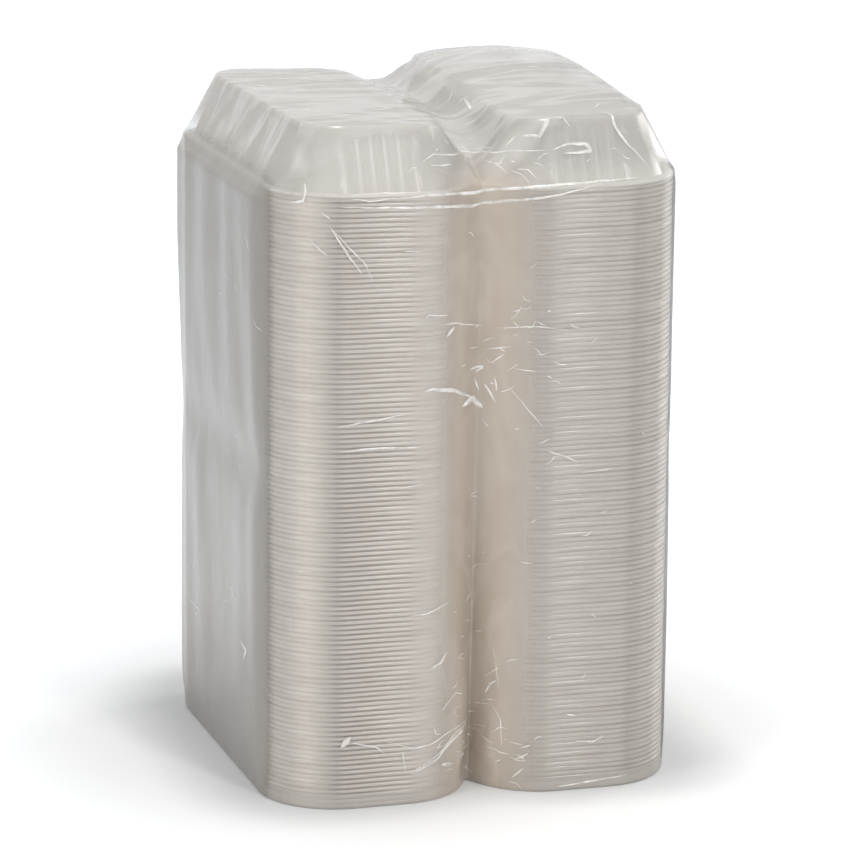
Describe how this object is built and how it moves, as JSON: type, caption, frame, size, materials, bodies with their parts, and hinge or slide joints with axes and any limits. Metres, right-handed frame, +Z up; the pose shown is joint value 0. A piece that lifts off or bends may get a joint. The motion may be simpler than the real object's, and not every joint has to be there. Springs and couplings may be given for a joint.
{
  "type": "plastic clamshell pack",
  "caption": "Sleeve of nested clear hinged food containers, opened flat and upside down, in a clear film bag.",
  "frame": {"origin": "middle of the underside", "axes": "+X across the two halves, +Y along the hinge, +Z up"},
  "size_m": [0.2686, 0.2778, 0.4339],
  "materials": {
    "film": "clear creased poly film",
    "clear_sheet": "clear glossy moulded sheet",
    "nested_sheet": "many clear glossy sheets, one inside the next"
  },
  "bodies": {
    "root": {"film_bag": "film", "top_container": "clear_sheet", "nested_containers_1": "nested_sheet", "nested_containers_2": "nested_sheet", "nested_containers_3": "nested_sheet", "nested_containers_4": "nested_sheet", "nested_containers_5": "nested_sheet", "nested_containers_6": "nested_sheet"}
  },
  "joints": []
}
